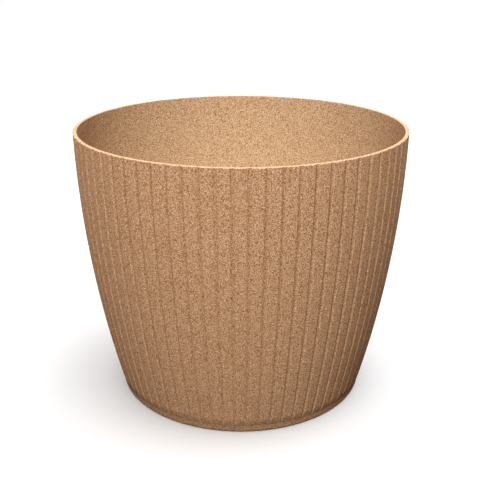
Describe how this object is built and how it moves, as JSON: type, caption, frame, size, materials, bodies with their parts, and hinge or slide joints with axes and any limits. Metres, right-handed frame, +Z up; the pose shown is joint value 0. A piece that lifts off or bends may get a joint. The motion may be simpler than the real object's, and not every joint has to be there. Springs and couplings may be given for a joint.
{
  "type": "plant pot",
  "caption": "Round tapered plant pot with vertical grooves all round, a plain flat rim, a recessed foot band, and press-in drain stoppers in its floor.",
  "frame": {"origin": "middle of the foot ring, on the ground", "axes": "+Z up through the mouth, -Y towards the front, with the middle of a panel on each of +X, -X, +Y and -Y"},
  "size_m": [0.24, 0.24, 0.1985],
  "materials": {
    "wood_composite": "matt moulded polypropylene with fine wood fibre, light and dark flecks",
    "plug_rubber": "soft satin rubber"
  },
  "bodies": {
    "pot": {"pot_shell": "wood_composite"},
    "plug_1": {"drain_plug_1": "plug_rubber"},
    "plug_2": {"drain_plug_2": "plug_rubber"},
    "plug_3": {"drain_plug_3": "plug_rubber"},
    "plug_4": {"drain_plug_4": "plug_rubber"}
  },
  "joints": [
    {"name": "plug_1_lift", "type": "slide", "parent": "pot", "child": "plug_1", "axis": [0, 0, 1], "range_m": [0, 0.2]},
    {"name": "plug_2_lift", "type": "slide", "parent": "pot", "child": "plug_2", "axis": [0, 0, 1], "range_m": [0, 0.2]},
    {"name": "plug_3_lift", "type": "slide", "parent": "pot", "child": "plug_3", "axis": [0, 0, 1], "range_m": [0, 0.2]},
    {"name": "plug_4_lift", "type": "slide", "parent": "pot", "child": "plug_4", "axis": [0, 0, 1], "range_m": [0, 0.2]}
  ]
}
